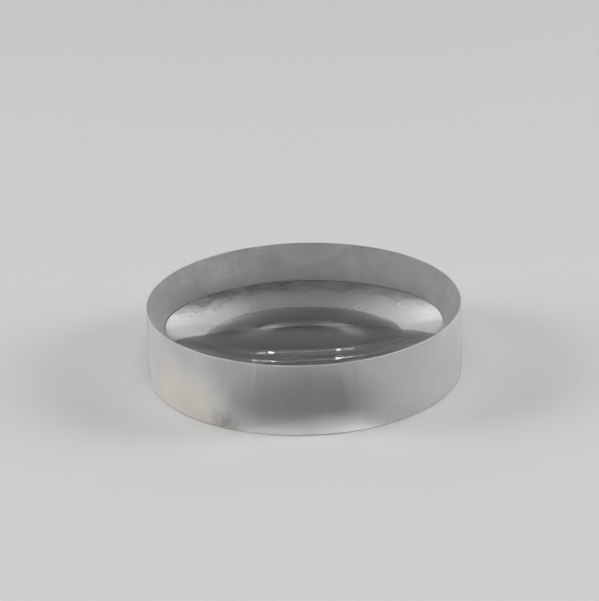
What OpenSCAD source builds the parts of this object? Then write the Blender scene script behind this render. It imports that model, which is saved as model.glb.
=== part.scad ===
// Biconcave (double-concave) lens blank, ground to its edge and polished on both faces.
// One solid of revolution about +Z. It stands on its lower rim, whose circle lies in the plane Z = 0.

/* [Lens] */
// Diameter across the ground edge
lens_diameter = 80; // [50:1:100]
// Glass left on the axis, between the two face vertices
centre_thickness = 2.1; // [1:0.1:10]
// Radius of curvature of the upper concave face
upper_radius = 100; // [75:1:300]
// Radius of curvature of the lower concave face
lower_radius = 100; // [75:1:300]

/* [Edge] */
// Leg of the 45 degree protective bevel at the upper rim
upper_bevel = 0.25; // [0.1:0.05:1]
// Leg of the 45 degree protective bevel at the lower rim
lower_bevel = 0.25; // [0.1:0.05:1]

/* [Quality] */
// Facets in one turn of the preview mesh
facets = 360; // [90:30:720]

/* [Hidden] */

edge_radius = lens_diameter / 2;

// Depth of a spherical face of this radius below a circle of the given half width
function sag(face_radius, half_width) = face_radius - sqrt(pow(face_radius, 2) - pow(half_width, 2));

// Where a 45 degree bevel of this leg meets the spherical face: the radius of the rim circle.
// The bevel's line is z = offset - rim, measured from the face's centre of curvature, so the rim solves
// rim^2 + (offset - rim)^2 = face_radius^2.
function bevel_offset(face_radius, bevel) =
    edge_radius - bevel - sqrt(pow(face_radius, 2) - pow(edge_radius, 2));
function rim_radius(face_radius, bevel) =
    let (offset = bevel_offset(face_radius, bevel))
    (offset + sqrt(2 * pow(face_radius, 2) - pow(offset, 2))) / 2;

upper_rim = rim_radius(upper_radius, upper_bevel);
lower_rim = rim_radius(lower_radius, lower_bevel);

// Heights along the axis, counted from the plane of the lower rim
lower_vertex_z = sag(lower_radius, lower_rim);
upper_vertex_z = lower_vertex_z + centre_thickness;
lens_height = upper_vertex_z + sag(upper_radius, upper_rim);

// Heights of the sharp corners that the bevels take off
lower_corner_z = lower_vertex_z - sag(lower_radius, edge_radius);
upper_corner_z = upper_vertex_z + sag(upper_radius, edge_radius);

// The ground disc: its cylindrical edge and both bevels, before the faces are generated
module ground_blank() {
    rotate_extrude($fn = facets)
        polygon([
            [0, lower_corner_z],
            [edge_radius - lower_bevel, lower_corner_z],
            [edge_radius, lower_corner_z + lower_bevel],
            [edge_radius, upper_corner_z - upper_bevel],
            [edge_radius - upper_bevel, upper_corner_z],
            [0, upper_corner_z],
        ]);
}

// The ball that generates one concave face; side is 1 for the upper face and -1 for the lower
module face_generator(face_radius, vertex_z, side) {
    translate([0, 0, vertex_z + side * face_radius])
        sphere(r = face_radius, $fn = facets);
}

module lens() {
    color("gainsboro")
        difference() {
            ground_blank();
            face_generator(upper_radius, upper_vertex_z, 1);
            face_generator(lower_radius, lower_vertex_z, -1);
        }
}

lens();
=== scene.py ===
"""Biconcave glass lens with a fine-ground edge, standing on its lower rim on a studio table.

The lens is one closed solid of revolution about +Z: two polished concave faces, a frosted
cylindrical wall and two narrow protective bevels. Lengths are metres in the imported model's frame.
"""
import logging
import math
from dataclasses import dataclass
from enum import Enum
from enum import IntEnum

import bmesh
import bpy
from mathutils import Matrix
from mathutils import Vector


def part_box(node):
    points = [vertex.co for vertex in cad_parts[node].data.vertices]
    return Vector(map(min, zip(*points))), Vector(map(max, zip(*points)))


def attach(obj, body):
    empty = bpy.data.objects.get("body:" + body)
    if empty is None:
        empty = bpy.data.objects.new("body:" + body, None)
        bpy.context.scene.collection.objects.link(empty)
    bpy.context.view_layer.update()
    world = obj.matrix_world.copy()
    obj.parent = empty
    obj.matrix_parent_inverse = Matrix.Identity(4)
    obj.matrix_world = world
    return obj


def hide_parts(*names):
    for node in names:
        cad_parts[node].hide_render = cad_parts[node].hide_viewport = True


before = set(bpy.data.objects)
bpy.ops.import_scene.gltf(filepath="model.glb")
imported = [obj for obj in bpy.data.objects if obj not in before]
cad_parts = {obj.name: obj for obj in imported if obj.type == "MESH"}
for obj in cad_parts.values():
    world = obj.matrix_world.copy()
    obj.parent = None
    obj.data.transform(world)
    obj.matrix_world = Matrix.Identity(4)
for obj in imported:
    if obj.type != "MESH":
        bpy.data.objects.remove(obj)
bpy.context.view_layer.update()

LOG = logging.getLogger("lens")
MM = 0.001
MERGE_DISTANCE = 0.0005 * MM
EVEN = (1.0, 1.0, 1.0)
# Stretches of a noise's values over which a ramp runs.
BROAD = (0.3, 0.7)
NARROW = (0.35, 0.65)

Socket = bpy.types.NodeSocket
Triple = tuple[float, float, float]


class Side(Enum):
    """The two faces of the lens; the value is the sign of the face's outward direction along Z."""

    UPPER = 1
    LOWER = -1


class Finish(IntEnum):
    """The lens's material slots, in the order in which they are filled."""

    POLISHED = 0
    GROUND = 1
    BEVEL = 2


class Depth(IntEnum):
    """How many surfaces deep a lamp's light still counts.

    NEAR is the surface that is seen and the one behind it, MIDDLE and MIRRORED are one and two more,
    and DEEP is as good as no limit. A low one keeps the table that shows through the glass dark.
    """

    NEAR = 1
    MIDDLE = 2
    MIRRORED = 3
    DEEP = 1024


@dataclass(frozen=True)
class LensForm:
    """Sizes of the lens and what follows from them.

    The width and the height come from the frame; the face radius and the bevel are the lens's own.
    """

    half_width: float
    height: float
    face_radius: float = 100 * MM
    bevel_leg: float = 0.25 * MM

    def sag(self, reach: float) -> float:
        """Depth of a face below its own circle of radius reach."""
        return self.face_radius - math.sqrt(self.face_radius**2 - reach**2)

    @property
    def rim_radius(self) -> float:
        """Radius of the circle where a 45 degree bevel meets the spherical face."""
        centre_drop = math.sqrt(self.face_radius**2 - self.half_width**2)
        offset = self.half_width - self.bevel_leg - centre_drop
        return (offset + math.sqrt(2 * self.face_radius**2 - offset**2)) / 2

    @property
    def bevel_reach(self) -> float:
        """How far each bevel comes down the wall from its rim."""
        return self.half_width - self.rim_radius

    def rim_z(self, side: Side) -> float:
        """Height of a face's rim circle."""
        return self.height if side is Side.UPPER else 0.0

    def vertex_z(self, side: Side) -> float:
        """Height of a face's lowest or highest point, on the axis."""
        return self.rim_z(side) - side.value * self.sag(self.rim_radius)


@dataclass(frozen=True)
class Chip:
    """A small flake missing from a rim.

    azimuth is in degrees from +X, width runs along the rim and depth is how far it bites.
    """

    side: Side
    azimuth: float
    width: float
    depth: float


@dataclass(frozen=True)
class Patch:
    """A soft ellipsoid in which a finish changes.

    centre and reach, its half size along each axis, are in millimetres. raggedness is how far a noise
    shifts its border, as a share of the reach. Inside the share core of the reach, it is at full strength.
    """

    centre: Triple
    reach: Triple
    raggedness: float
    core: float = 0.35


@dataclass(frozen=True)
class Grain:
    """A fractal noise over the object.

    size is that of its largest features, in millimetres. octaves counts the steps of finer ones, squash
    is a factor on the frequency along each axis, swirl bends the pattern, and fineness is how strong the
    fine features are.
    """

    size: float
    octaves: float
    squash: Triple = EVEN
    swirl: float = 0.0
    fineness: float = 0.55


class Shader:
    """A material's node tree, with short calls for the nodes that the finishes use."""

    def __init__(self, name: str) -> None:
        """Starts a material that holds only its Principled shader and its output.

        Args:
            name: the material's name.
        """
        self.material = bpy.data.materials.new(name)
        self.material.use_nodes = True
        self.tree = self.material.node_tree
        self.surface = self.tree.nodes["Principled BSDF"]
        coordinates = self.tree.nodes.new("ShaderNodeTexCoord")
        self.place = coordinates.outputs["Object"]

    def set(self, **values: object) -> None:
        """Sets the shader's own sockets; underscores in a name stand for spaces."""
        for name, value in values.items():
            self.surface.inputs[name.replace("_", " ")].default_value = value

    def drive(self, socket: str, value: Socket) -> None:
        """Links a value to one of the shader's sockets."""
        self.tree.links.new(value, self.surface.inputs[socket])

    def _fill(self, socket: Socket, value: object) -> None:
        """Links a value to a node's socket, or writes it there when it is a plain number or colour.

        Args:
            socket: the node's socket.
            value: another node's socket, a number or a colour.
        """
        if isinstance(value, Socket):
            self.tree.links.new(value, socket)
        else:
            socket.default_value = value

    def stretch(self, scale: Triple) -> Socket:
        """Stretches the object's coordinates.

        Args:
            scale: the factor along each axis.

        Returns:
            The stretched coordinates.
        """
        mapping = self.tree.nodes.new("ShaderNodeMapping")
        mapping.inputs["Scale"].default_value = scale
        self._fill(mapping.inputs["Vector"], self.place)
        return mapping.outputs["Vector"]

    def reach(self) -> Socket:
        """Measures the distance from the lens's axis.

        Returns:
            The distance.
        """
        flat = self.tree.nodes.new("ShaderNodeVectorMath")
        flat.operation = "MULTIPLY"
        self._fill(flat.inputs[0], self.place)
        flat.inputs[1].default_value = (1.0, 1.0, 0.0)
        length = self.tree.nodes.new("ShaderNodeVectorMath")
        length.operation = "LENGTH"
        self._fill(length.inputs[0], flat.outputs["Vector"])
        return length.outputs["Value"]

    def height(self) -> Socket:
        """Measures the height above the table.

        Returns:
            The height.
        """
        split = self.tree.nodes.new("ShaderNodeSeparateXYZ")
        self._fill(split.inputs["Vector"], self.place)
        return split.outputs["Z"]

    def noise(self, grain: Grain) -> Socket:
        """Draws a fractal noise.

        Args:
            grain: its size and character.

        Returns:
            The noise value, from 0 to 1 about a mean of one half.
        """
        noise = self.tree.nodes.new("ShaderNodeTexNoise")
        size = grain.size * MM
        self._fill(noise.inputs["Vector"], self.stretch(tuple(axis / size for axis in grain.squash)))
        noise.inputs["Scale"].default_value = 1.0
        noise.inputs["Detail"].default_value = grain.octaves
        noise.inputs["Distortion"].default_value = grain.swirl
        noise.inputs["Roughness"].default_value = grain.fineness
        return noise.outputs["Fac"]

    def specks(self, spacing: float, size: float, core: float = 0.6) -> Socket:
        """Scatters round specks.

        Args:
            spacing: mean distance between speck centres.
            size: a speck's radius, as a share of the spacing.
            core: the share of that radius inside which a speck is at full strength.

        Returns:
            1 inside a speck and 0 elsewhere.
        """
        cells = self.tree.nodes.new("ShaderNodeTexVoronoi")
        self._fill(cells.inputs["Vector"], self.stretch((1 / spacing,) * 3))
        cells.inputs["Scale"].default_value = 1.0
        return self.ramp(cells.outputs["Distance"], size, core * size)

    def ramp(self, value: Socket, start: float, end: float, low: float = 0.0, high: float = 1.0) -> Socket:
        """Makes a smooth step.

        Args:
            value: what it follows.
            start: where it begins; it may lie past end.
            end: where it is complete.
            low: the result at start and before it.
            high: the result at end and past it.

        Returns:
            The result.
        """
        step = self.tree.nodes.new("ShaderNodeMapRange")
        step.interpolation_type = "SMOOTHSTEP"
        self._fill(step.inputs["Value"], value)
        if start > end:
            start, end, low, high = end, start, high, low
        for name, number in (("From Min", start), ("From Max", end), ("To Min", low), ("To Max", high)):
            step.inputs[name].default_value = number
        return step.outputs["Result"]

    def calc(self, operation: str, first: Socket | float, second: Socket | float) -> Socket:
        """Does one arithmetic step.

        Args:
            operation: the Math node's operation.
            first: its first value.
            second: its second value.

        Returns:
            The result.
        """
        step = self.tree.nodes.new("ShaderNodeMath")
        step.operation = operation
        self._fill(step.inputs[0], first)
        self._fill(step.inputs[1], second)
        return step.outputs[0]

    def patch(self, place: Patch, edge: Socket) -> Socket:
        """How far a point of the surface lies inside a patch.

        Args:
            place: the patch.
            edge: the noise that shifts its border.

        Returns:
            1 in the middle, falling to 0 at the border.
        """
        mapping = self.tree.nodes.new("ShaderNodeMapping")
        mapping.vector_type = "TEXTURE"
        mapping.inputs["Location"].default_value = Vector(place.centre) * MM
        mapping.inputs["Scale"].default_value = Vector(place.reach) * MM
        self._fill(mapping.inputs["Vector"], self.place)
        length = self.tree.nodes.new("ShaderNodeVectorMath")
        length.operation = "LENGTH"
        self._fill(length.inputs[0], mapping.outputs["Vector"])
        shift = self.calc("MULTIPLY", self.calc("SUBTRACT", edge, 0.5), 2 * place.raggedness)
        return self.ramp(self.calc("ADD", length.outputs["Value"], shift), 1.0, place.core)

    def tint(self, factor: Socket, plain: Socket | Triple, stained: Socket | Triple) -> Socket:
        """Mixes two colours.

        Args:
            factor: 0 for plain and 1 for stained.
            plain: the first colour.
            stained: the second colour.

        Returns:
            The mixed colour.
        """
        mix = self.tree.nodes.new("ShaderNodeMix")
        mix.data_type = "RGBA"
        self._fill(mix.inputs["Factor"], factor)
        for name, colour in (("A", plain), ("B", stained)):
            socket = next(s for s in mix.inputs if s.name == name and s.type == "RGBA")
            self._fill(socket, colour if isinstance(colour, Socket) else (*colour, 1.0))
        return next(s for s in mix.outputs if s.type == "RGBA")

    def bump(self, height: Socket, depth: float) -> None:
        """Gives the surface relief.

        Args:
            height: the relief's form, from 0 to 1.
            depth: how deep it is.
        """
        relief = self.tree.nodes.new("ShaderNodeBump")
        relief.inputs["Strength"].default_value = 1.0
        relief.inputs["Distance"].default_value = depth
        self._fill(relief.inputs["Height"], height)
        self.drive("Normal", relief.outputs["Normal"])

    def fade(self, amount: Socket, level: float) -> None:
        """Turns the surface into a plain glow.

        Args:
            amount: 0 for the surface and 1 for the glow.
            level: how bright the glow is.
        """
        glow = self.tree.nodes.new("ShaderNodeEmission")
        glow.inputs["Color"].default_value = (level, level, level, 1.0)
        mix = self.tree.nodes.new("ShaderNodeMixShader")
        self._fill(mix.inputs["Fac"], amount)
        self.tree.links.new(self.surface.outputs["BSDF"], mix.inputs[1])
        self.tree.links.new(glow.outputs["Emission"], mix.inputs[2])
        self.tree.links.new(mix.outputs["Shader"], self.tree.nodes["Material Output"].inputs["Surface"])


@dataclass(frozen=True)
class PolishedFace:
    """Clear polished crown glass, with dark polishing residue in ragged patches near the lower rim.

    Haze is the share of the surface that scatters light instead of letting it through.
    """

    index: float = 1.517
    roughness: float = 0.0
    clear: Triple = (0.99, 0.991, 0.992)
    wiped: Triple = (0.97, 0.971, 0.972)
    wipes: Grain = Grain(14, 3.0, (1.0, 1.6, 1.0), swirl=1.2)
    wipes_span: tuple[float, float] = (0.5, 0.8)
    residue_tone: Triple = (0.10, 0.10, 0.095)
    residue_haze: float = 0.66
    residue_darkens: float = 6.0
    residue_start: float = 27.0 * MM
    residue_full: float = 38.5 * MM
    residue_top: float = 8.0 * MM
    residue_fade: float = 0.7
    residue_clouds: Grain = Grain(4.5, 5.0, swirl=0.3)
    residue_drift: float = 2.6
    residue_cover: tuple[float, float] = (0.2, 1.05)
    residue_edge: Grain = Grain(9, 3.0)
    residue_heavy: Patch = Patch((-16, 30, 2), (38, 25, 20), 0.2)
    residue_light: Patch = Patch((22, 28, 2), (26, 18, 18), 0.2)
    light_share: float = 0.6
    mottle: Grain = Grain(2.0, 3.0)
    mottle_least: float = 0.6
    smear_place: Patch = Patch((-17, -1, 11.5), (9, 6, 5), 0.2)
    smear_streaks: Grain = Grain(3, 3.0, (0.35, 1.0, 1.0), swirl=0.7)
    smear_span: tuple[float, float] = (0.45, 0.7)
    smear_haze: float = 0.07
    dust_spacing: float = 7.0 * MM
    dust_size: float = 0.02
    dust_haze: float = 0.4

    def material(self) -> bpy.types.Material:
        """Builds the finish.

        Returns:
            The material.
        """
        shader = Shader("polished_face")
        shader.set(IOR=self.index, Roughness=self.roughness)
        residue = self._residue(shader)
        haze = shader.calc("MULTIPLY", residue, self.residue_haze)
        haze = shader.calc("MAXIMUM", haze, self._smear(shader))
        dust = shader.calc("MULTIPLY", shader.specks(self.dust_spacing, self.dust_size), self.dust_haze)
        haze = shader.calc("MAXIMUM", haze, dust)
        shader.drive("Transmission Weight", shader.calc("SUBTRACT", 1.0, haze))
        wipes = shader.ramp(shader.noise(self.wipes), *self.wipes_span)
        tone = shader.tint(wipes, self.clear, self.wiped)
        dark = shader.calc("MULTIPLY", residue, self.residue_darkens)
        shader.drive("Base Color", shader.tint(dark, tone, self.residue_tone))
        return shader.material

    def _residue(self, shader: Shader) -> Socket:
        """Spreads dark cloudy residue on the lower face along its rim, heaviest at the back left.

        Args:
            shader: the finish's shader.

        Returns:
            How much residue there is, from 0 to 1.
        """
        clouds = shader.noise(self.residue_clouds)
        drift = shader.calc("MULTIPLY", shader.calc("SUBTRACT", clouds, 0.5), self.residue_drift)
        outward = shader.ramp(shader.reach(), self.residue_start, self.residue_full)
        cover = shader.ramp(shader.calc("ADD", outward, drift), *self.residue_cover)
        lower = shader.ramp(shader.height(), self.residue_top, self.residue_fade * self.residue_top)
        cover = shader.calc("MULTIPLY", cover, lower)
        ragged = shader.noise(self.residue_edge)
        light = shader.calc("MULTIPLY", shader.patch(self.residue_light, ragged), self.light_share)
        amount = shader.calc("MAXIMUM", shader.patch(self.residue_heavy, ragged), light)
        mottle = shader.ramp(shader.noise(self.mottle), *BROAD, self.mottle_least, 1.0)
        return shader.calc("MULTIPLY", shader.calc("MULTIPLY", cover, amount), mottle)

    def _smear(self, shader: Shader) -> Socket:
        """Wipes a faint smear over the left of the upper face.

        Args:
            shader: the finish's shader.

        Returns:
            The smear's haze.
        """
        streaks = shader.ramp(shader.noise(self.smear_streaks), *self.smear_span)
        place = shader.patch(self.smear_place, streaks)
        return shader.calc("MULTIPLY", shader.calc("MULTIPLY", place, streaks), self.smear_haze)


@dataclass(frozen=True)
class GroundEdge:
    """Fine-ground glass of the wall: even frosting with thinner patches, a warm film and a stain, and
    patches of haze that paint light and shade.

    Haze is the share of the surface that scatters light instead of letting it through. Each patch adds its
    own haze to that of the frosting, and a negative one makes the glass clearer. A clearer back wall is
    painted light, a clearer middle of the front wall is partly thinner frosting and partly painted shade,
    and a hazier front foot is a painted band of light.
    """

    index: float = 1.517
    roughness: float = 0.7
    haze: float = 0.24
    body: Triple = (0.96, 0.956, 0.972)
    cloudy: Triple = (0.932, 0.927, 0.943)
    cloud: Grain = Grain(9, 5.0, (1.0, 1.0, 0.8))
    cloud_haze: float = 0.04
    ragged: Grain = Grain(6, 5.0)
    streaks: Grain = Grain(1.6, 3.0, (1.0, 1.0, 0.08))
    streak_haze: float = 0.008
    streak_roughness: float = 0.02
    film: Triple = (0.97, 0.925, 0.83)
    film_place: Patch = Patch((-31, -27, 4.5), (15, 22, 12.5), 0.35)
    film_haze: float = 0.17
    stain: Triple = (0.52, 0.46, 0.40)
    stain_place: Patch = Patch((-20, -34.6, 1), (5, 8, 5), 1.0)
    stain_mottle: Grain = Grain(1.3, 4.0, swirl=0.4)
    stain_least: float = 0.25
    stain_haze: float = 0.12
    puffs: Grain = Grain(5, 5.0, swirl=0.7)
    puffs_span: tuple[float, float] = (0.4, 0.62)
    puffs_place: Patch = Patch((-24, 30, 12), (17, 17, 9), 0.4)
    puffs_haze: float = -0.08
    puffs_roughness: float = 0.1
    # painted light: clearer glass brightens the back wall
    brightened_rear_place: Patch = Patch((-7, 38, 12), (48, 30, 18), 0.3)
    brightened_rear_haze: float = -0.05
    # partly painted shade: thinner frosting darkens the middle of the front wall
    clearer_shaded_place: Patch = Patch((-1, -39.8, 9.5), (25, 16, 10.5), 0.15)
    clearer_shaded_haze: float = -0.19
    # painted light: thicker frosting brightens a band along the front foot
    lit_foot_place: Patch = Patch((6, -39.6, 0.5), (12, 9, 3.6), 0.25)
    lit_foot_haze: float = 0.04
    lay: Grain = Grain(0.5, 2.0, (0.15, 0.15, 1.0))
    lay_share: float = 0.5
    pits: Grain = Grain(0.18, 2.0)
    relief: float = 0.004 * MM

    def material(self) -> bpy.types.Material:
        """Builds the finish.

        Returns:
            The material.
        """
        shader = Shader("ground_edge")
        shader.set(IOR=self.index)
        cloud = shader.noise(self.cloud)
        ragged = shader.noise(self.ragged)
        mottle = shader.noise(self.stain_mottle)
        streaks = shader.noise(self.streaks)
        film = shader.patch(self.film_place, ragged)
        spill = shader.patch(self.stain_place, mottle)
        stain = shader.calc("MULTIPLY", spill, shader.ramp(mottle, *NARROW, self.stain_least, 1.0))
        puffs = shader.ramp(shader.noise(self.puffs), *self.puffs_span)
        puffs = shader.calc("MULTIPLY", shader.patch(self.puffs_place, ragged), puffs)

        tone = shader.tint(shader.ramp(cloud, *NARROW), self.body, self.cloudy)
        tone = shader.tint(film, tone, self.film)
        shader.drive("Base Color", shader.tint(stain, tone, self.stain))

        haze = shader.ramp(cloud, *BROAD, self.haze - self.cloud_haze, self.haze + self.cloud_haze)
        layers = (
            (shader.ramp(streaks, *NARROW, -1.0, 1.0), self.streak_haze),
            (film, self.film_haze),
            (stain, self.stain_haze),
            (puffs, self.puffs_haze),
            # the last three patches paint light and shade: a brighter back wall, a partly shaded middle of
            # the front wall and a bright front foot
            (shader.patch(self.brightened_rear_place, ragged), self.brightened_rear_haze),
            (shader.patch(self.clearer_shaded_place, ragged), self.clearer_shaded_haze),
            (shader.patch(self.lit_foot_place, ragged), self.lit_foot_haze),
        )
        for amount, strength in layers:
            haze = shader.calc("ADD", haze, shader.calc("MULTIPLY", amount, strength))
        shader.drive("Transmission Weight", shader.calc("SUBTRACT", 1.0, haze))

        smoother = self.roughness - self.streak_roughness
        rougher = self.roughness + self.streak_roughness
        spread = shader.ramp(streaks, *BROAD, smoother, rougher)
        rougher_puffs = shader.calc("MULTIPLY", puffs, self.puffs_roughness)
        shader.drive("Roughness", shader.calc("ADD", spread, rougher_puffs))
        lay = shader.calc("MULTIPLY", shader.noise(self.lay), self.lay_share)
        shader.bump(shader.calc("ADD", lay, shader.noise(self.pits)), self.relief)
        return shader.material


@dataclass(frozen=True)
class RimBevel:
    """Fine-ground glass of the two narrow bevels, whitened at the upper rim and darkened at the lower one
    by painted shade where it stands on the table.

    height is the lens's own. Haze is the share of the surface that scatters light, and the reach of the
    dark colour is how far up the painted contact shade goes, as a share of the height.
    """

    height: float
    index: float = 1.517
    grain: Grain = Grain(1.5, 3.0)
    haze_upper: float = 0.25
    haze_lower: float = 0.5
    haze_change: float = 0.05
    smooth: float = 0.4
    rough: float = 0.55
    clean: Triple = (0.97, 0.972, 0.975)
    dusty: Triple = (0.93, 0.932, 0.935)
    # painted shade: a dark colour on the lower bevel, where it stands on the table
    contact_shade: Triple = (0.12, 0.12, 0.115)
    shade_reach: float = 0.5

    def material(self) -> bpy.types.Material:
        """Builds the finish.

        Returns:
            The material.
        """
        shader = Shader("rim_bevel")
        shader.set(IOR=self.index)
        grain = shader.noise(self.grain)
        haze = shader.ramp(shader.height(), 0.0, self.height, self.haze_lower, self.haze_upper)
        haze = shader.calc("ADD", haze, shader.ramp(grain, *BROAD, -self.haze_change, self.haze_change))
        shader.drive("Transmission Weight", shader.calc("SUBTRACT", 1.0, haze))
        shader.drive("Roughness", shader.ramp(grain, *BROAD, self.smooth, self.rough))
        # painted contact shade, darkest where the bevel meets the table
        shade_amount = shader.ramp(shader.height(), self.shade_reach * self.height, 0.0)
        tone = shader.tint(grain, self.clean, self.dusty)
        shader.drive("Base Color", shader.tint(shade_amount, tone, self.contact_shade))
        return shader.material


@dataclass(frozen=True)
class Lens:
    """The glass body: both concave faces, the wall and the bevels, as one closed mesh."""

    form: LensForm
    turn_steps: int = 512
    sectors: int = 8
    face_rings: int = 64
    wall_rings: int = 6
    name: str = "lens_glass"
    chips: tuple[Chip, ...] = ()

    def build(self) -> bpy.types.Object:
        """Makes the mesh, its finishes and its place in the frame.

        Returns:
            The lens's object, at the origin.
        """
        body = bmesh.new()
        self._draw_profile(body)
        self._revolve(body)
        self._number_finishes(body)
        self._chip_rims(body)
        mesh = bpy.data.meshes.new(self.name)
        body.to_mesh(mesh)
        body.free()
        for finish in (PolishedFace(), GroundEdge(), RimBevel(self.form.height)):
            mesh.materials.append(finish.material())
        lens = bpy.data.objects.new(self.name, mesh)
        bpy.context.scene.collection.objects.link(lens)
        return lens

    def _draw_face(self, body: bmesh.types.BMesh, side: Side) -> bmesh.types.BMVert:
        """Draws one face's arc from the axis to its rim by swinging a vertex about its centre.

        Args:
            body: the mesh to draw in.
            side: which face.

        Returns:
            The vertex on the rim.
        """
        form = self.form
        centre = Vector((0, 0, form.vertex_z(side) + side.value * form.face_radius))
        start = body.verts.new((0, 0, form.vertex_z(side)))
        swing = math.asin(form.rim_radius / form.face_radius)
        arc = bmesh.ops.spin(
            body,
            geom=[start],
            cent=centre,
            axis=(0, 1, 0),
            dvec=(0, 0, 0),
            angle=-side.value * swing,
            steps=self.face_rings,
        )
        return next(item for item in arc["geom_last"] if isinstance(item, bmesh.types.BMVert))

    def _draw_profile(self, body: bmesh.types.BMesh) -> None:
        """Draws the half section: both faces' arcs, joined by the bevels and the wall.

        Args:
            body: the mesh to draw in.
        """
        form = self.form
        lower = self._draw_face(body, Side.LOWER)
        upper = self._draw_face(body, Side.UPPER)
        foot = body.verts.new((form.half_width, 0, form.bevel_reach))
        head = body.verts.new((form.half_width, 0, form.height - form.bevel_reach))
        body.edges.new((lower, foot))
        body.edges.new((head, upper))
        wall = body.edges.new((foot, head))
        bmesh.ops.subdivide_edges(body, edges=[wall], cuts=self.wall_rings)

    def _revolve(self, body: bmesh.types.BMesh) -> None:
        """Turns the half section through one sector, then doubles the sectors up to a full turn.

        Args:
            body: the mesh that holds the half section.
        """
        bmesh.ops.spin(
            body,
            geom=body.verts[:] + body.edges[:],
            cent=(0, 0, 0),
            axis=(0, 0, 1),
            dvec=(0, 0, 0),
            angle=math.tau / self.sectors,
            steps=self.turn_steps // self.sectors,
        )
        made = 1
        while made < self.sectors:
            copy = bmesh.ops.duplicate(body, geom=body.verts[:] + body.edges[:] + body.faces[:])
            copied = [item for item in copy["geom"] if isinstance(item, bmesh.types.BMVert)]
            turn = Matrix.Rotation(math.tau * made / self.sectors, 3, "Z")
            bmesh.ops.rotate(body, verts=copied, cent=(0, 0, 0), matrix=turn)
            made *= 2
        bmesh.ops.remove_doubles(body, verts=body.verts, dist=MERGE_DISTANCE)
        bmesh.ops.recalc_face_normals(body, faces=body.faces)

    def _number_finishes(self, body: bmesh.types.BMesh) -> None:
        """Gives each face its finish by its distance from the axis, and creases the borders.

        Args:
            body: the lens's mesh.
        """
        form = self.form
        bevel_middle = (form.rim_radius + form.half_width) / 2
        bevel_end = (bevel_middle + form.half_width) / 2
        for face in body.faces:
            face.smooth = True
            reach = face.calc_center_median().xy.length
            if reach < form.rim_radius:
                face.material_index = Finish.POLISHED
            elif reach < bevel_end:
                face.material_index = Finish.BEVEL
            else:
                face.material_index = Finish.GROUND
        for edge in body.edges:
            finishes = {face.material_index for face in edge.link_faces}
            edge.smooth = len(finishes) == 1

    def _chip_rims(self, body: bmesh.types.BMesh) -> None:
        """Presses the small chips into the rims, towards the middle of the glass.

        Args:
            body: the lens's mesh.
        """
        form = self.form
        middle = form.height / 2
        for chip in self.chips:
            along = math.radians(chip.azimuth)
            corner = Vector((math.cos(along), math.sin(along), 0)) * form.rim_radius
            corner.z = form.rim_z(chip.side)
            for vertex in body.verts:
                gap = (vertex.co - corner).length / (chip.width / 2)
                if gap < 1:
                    bite = chip.depth * (1 - gap**2)
                    inward = Vector((-corner.x, -corner.y, middle - corner.z)).normalized()
                    vertex.co += bite * inward


@dataclass(frozen=True)
class Softbox:
    """A rectangular studio lamp that faces a point on the lens.

    A mirrored lamp is small and bright and looks straight down, turned about Z: the polished faces reflect
    it, and it doesn't light the table round the lens.
    """

    name: str
    place: Triple
    width: float
    height: float
    watts: float
    depth: Depth = Depth.DEEP
    mirrored: bool = False
    turn: float = 0.0

    def build(self, target: Vector) -> None:
        """Hangs the lamp.

        Args:
            target: the point that it faces.
        """
        light = bpy.data.lights.new(self.name, "AREA")
        light.shape = "RECTANGLE"
        light.size = self.width
        light.size_y = self.height
        light.energy = self.watts
        light.cycles.use_multiple_importance_sampling = self.mirrored
        light.cycles.max_bounces = int(self.depth)
        lamp = bpy.data.objects.new(self.name, light)
        lamp.location = self.place
        if self.mirrored:
            lamp.rotation_euler.z = self.turn
        else:
            facing = target - lamp.location
            lamp.rotation_euler = facing.to_track_quat("-Z", "Y").to_euler()
        lamp.visible_diffuse = not self.mirrored
        lamp.visible_camera = False
        bpy.context.scene.collection.objects.link(lamp)


@dataclass(frozen=True)
class Tube:
    """A narrow bright lamp on a rail: where it starts and ends along X, its breadth and its brightness."""

    start: float
    end: float
    breadth: float
    brightness: float

    @property
    def length(self) -> float:
        """Its length along X."""
        return self.end - self.start

    @property
    def middle(self) -> float:
        """Where its middle lies along X."""
        return (self.start + self.end) / 2

    @property
    def watts(self) -> float:
        """The power that gives it its brightness."""
        return math.pi * self.length * self.breadth * self.brightness


@dataclass(frozen=True)
class LightRail:
    """A rail overhead that carries narrow tubes, which the polished faces mirror as glints.

    It runs along X at a height above the table. depth is its place along Y at X = 0, and slope is how much
    that changes with X.
    """

    name: str
    depth: float
    slope: float
    tubes: tuple[Tube, ...]
    height: float = 0.8

    def build(self, target: Vector) -> None:
        """Hangs the tubes.

        Args:
            target: the point that the lamps face.
        """
        for number, tube in enumerate(self.tubes):
            Softbox(
                name=f"{self.name}_{number}",
                place=(tube.middle, self.depth + self.slope * tube.middle, self.height),
                width=tube.length,
                height=tube.breadth,
                watts=tube.watts,
                depth=Depth.MIRRORED,
                mirrored=True,
                turn=math.atan(self.slope),
            ).build(target)


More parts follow.
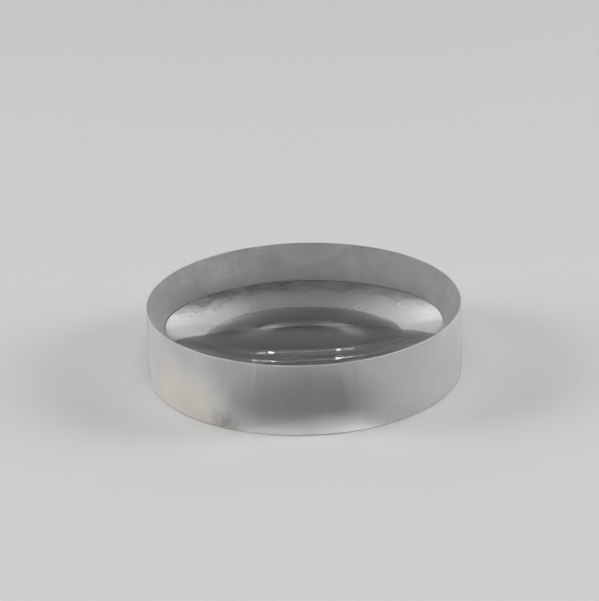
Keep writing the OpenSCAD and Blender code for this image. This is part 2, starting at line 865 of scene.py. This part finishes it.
# How bright the three kinds of tube are: round glints, longer streaks, and the thin lines between them.
SPOT = 34.0
STREAK = 18.0
LINE = 6.0
GLINT_RAILS = (
    LightRail(
        "back_rail",
        depth=0.27,
        slope=0.08,
        tubes=(
            Tube(-0.60, -0.44, 0.06, STREAK),
            Tube(-0.40, -0.33, 0.08, SPOT),
            Tube(-0.33, 0.33, 0.03, LINE),
            Tube(0.33, 0.40, 0.08, SPOT),
            Tube(0.45, 0.62, 0.06, STREAK),
        ),
    ),
    LightRail(
        "front_left_rail",
        depth=-0.12,
        slope=0.24,
        tubes=(
            Tube(-1.25, -1.00, 0.12, STREAK),
            Tube(-0.83, -0.67, 0.18, SPOT),
            Tube(-0.58, -0.45, 0.12, STREAK),
            Tube(-0.39, -0.345, 0.12, SPOT),
            Tube(-0.33, 0.00, 0.04, LINE),
        ),
    ),
    LightRail(
        "front_right_rail",
        depth=-0.12,
        slope=-0.04,
        tubes=(
            Tube(0.00, 0.31, 0.04, LINE),
            Tube(0.32, 0.44, 0.12, SPOT),
            Tube(0.49, 0.69, 0.10, STREAK),
            Tube(0.82, 1.00, 0.10, STREAK),
        ),
    ),
)


@dataclass(frozen=True)
class Viewpoint:
    """The camera: where it stands from the upper rim's centre, and how the lens sits in its frame.

    elevation and roll are in degrees. focal_pixels is the focal length, in pixels of a frame that is
    frame_width by frame_height, and sensor is the sensor's width in millimetres.
    """

    elevation: float = 22.94
    distance: float = 688.2 * MM
    focal_pixels: float = 2713.4
    roll: float = 1.59
    lens_right_of_centre: float = 1.02 * MM
    lens_below_centre: float = 0.1 * MM
    frame_width: int = 599
    frame_height: int = 601
    sensor: float = 36.0
    nearest: float = 10 * MM

    def build(self, rim_centre: Vector) -> None:
        """Places the camera and makes it the scene's own.

        Args:
            rim_centre: centre of the lens's upper rim.
        """
        rise = math.radians(self.elevation)
        forward = Vector((0, math.cos(rise), -math.sin(rise)))
        level = Vector((1, 0, 0))
        turn = Matrix.Rotation(math.radians(self.roll), 3, forward)
        right = turn @ level
        up = right.cross(forward)
        aim = rim_centre - self.lens_right_of_centre * right + self.lens_below_centre * up
        data = bpy.data.cameras.new("camera")
        data.sensor_width = self.sensor
        data.lens = self.focal_pixels / max(self.frame_width, self.frame_height) * self.sensor
        data.clip_start = self.nearest
        camera = bpy.data.objects.new("camera", data)
        axes = Matrix((right, up, -forward)).transposed().to_4x4()
        camera.matrix_world = Matrix.Translation(aim - self.distance * forward) @ axes
        bpy.context.scene.collection.objects.link(camera)
        bpy.context.scene.camera = camera


@dataclass(frozen=True)
class Studio:
    """The pale table, the soft lamps, the dim room and the camera.

    Between pool_start and pool_end from the lens, the table fades into the room's own level.
    """

    floor_span: float = 6.0
    floor_drop: float = 0.02 * MM
    floor_tone: Triple = (0.48, 0.48, 0.475)
    floor_roughness: float = 0.9
    floor_specular: float = 0.1
    room_level: float = 0.06
    pool_start: float = 0.55
    pool_end: float = 1.9
    glass_bounces: int = 24
    mirror_bounces: int = 12
    lamps: tuple[Softbox, ...] = ()
    rails: tuple[LightRail, ...] = ()

    def build(self, form: LensForm) -> None:
        """Builds everything round the lens.

        Args:
            form: the lens's sizes, for the lamps' and the camera's aim.
        """
        self._lay_floor()
        self._light_room()
        target = Vector((0, 0, form.height / 2))
        for lamp in (*self.lamps, *self.rails):
            lamp.build(target)
        Viewpoint().build(Vector((0, 0, form.height)))
        scene = bpy.context.scene
        scene.view_settings.view_transform = "Standard"
        scene.cycles.max_bounces = self.glass_bounces
        scene.cycles.transmission_bounces = self.glass_bounces
        scene.cycles.glossy_bounces = self.mirror_bounces
        scene.cycles.sample_clamp_indirect = 0.0

    def _lay_floor(self) -> None:
        """Lays the table top, a hair under the lens so that the two don't share a plane."""
        sheet = bmesh.new()
        bmesh.ops.create_grid(sheet, x_segments=1, y_segments=1, size=self.floor_span / 2)
        bmesh.ops.translate(sheet, verts=sheet.verts, vec=(0, 0, -self.floor_drop))
        mesh = bpy.data.meshes.new("floor")
        sheet.to_mesh(mesh)
        sheet.free()
        shader = Shader("pale_table")
        shader.set(Base_Color=(*self.floor_tone, 1.0), Roughness=self.floor_roughness)
        shader.set(Specular_IOR_Level=self.floor_specular)
        shader.fade(shader.ramp(shader.reach(), self.pool_start, self.pool_end), self.room_level)
        mesh.materials.append(shader.material)
        floor = bpy.data.objects.new("floor", mesh)
        bpy.context.scene.collection.objects.link(floor)

    def _light_room(self) -> None:
        """Fills the room with dim even light."""
        world = bpy.data.worlds.new("room")
        world.use_nodes = True
        background = world.node_tree.nodes["Background"]
        background.inputs["Color"].default_value = (self.room_level,) * 3 + (1.0,)
        bpy.context.scene.world = world


SOFTBOXES = (
    Softbox("left_side_softbox", (-1.35, 0.0, 0.6), width=0.7, height=0.7, watts=16.0, depth=Depth.NEAR),
    Softbox("right_side_softbox", (1.35, 0.0, 0.6), width=0.7, height=0.7, watts=16.0, depth=Depth.NEAR),
    Softbox("front_softbox", (0.0, -1.1, 1.5), width=0.9, height=0.7, watts=8.0, depth=Depth.NEAR),
    Softbox("top_softbox", (0.0, -0.35, 1.7), width=1.6, height=0.9, watts=13.0, depth=Depth.MIDDLE),
    Softbox("left_rim_light", (-1.0, 1.2, 0.7), width=0.7, height=0.7, watts=3.8),
    Softbox("right_rim_light", (1.0, 1.2, 0.7), width=0.7, height=0.7, watts=4.2),
)
CHIPS = (Chip(Side.LOWER, azimuth=272, width=1.5 * MM, depth=0.3 * MM),)


def main() -> None:
    """Builds the lens, then the studio."""
    logging.basicConfig(level=logging.INFO, format="%(name)s: %(message)s")
    low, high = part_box("lens")
    form = LensForm(half_width=(high[0] - low[0]) / 2, height=high[2] - low[2])
    lens = Lens(form, chips=CHIPS).build()
    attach(lens, "root")
    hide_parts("lens")
    thickness = (form.vertex_z(Side.UPPER) - form.vertex_z(Side.LOWER)) / MM
    LOG.info("%s: %d faces, centre %.2f mm thick", lens.name, len(lens.data.polygons), thickness)
    Studio(lamps=SOFTBOXES, rails=GLINT_RAILS).build(form)
    LOG.info("studio: %d softboxes and %d rails of tubes", len(SOFTBOXES), len(GLINT_RAILS))


if __name__ == "__main__":
    main()
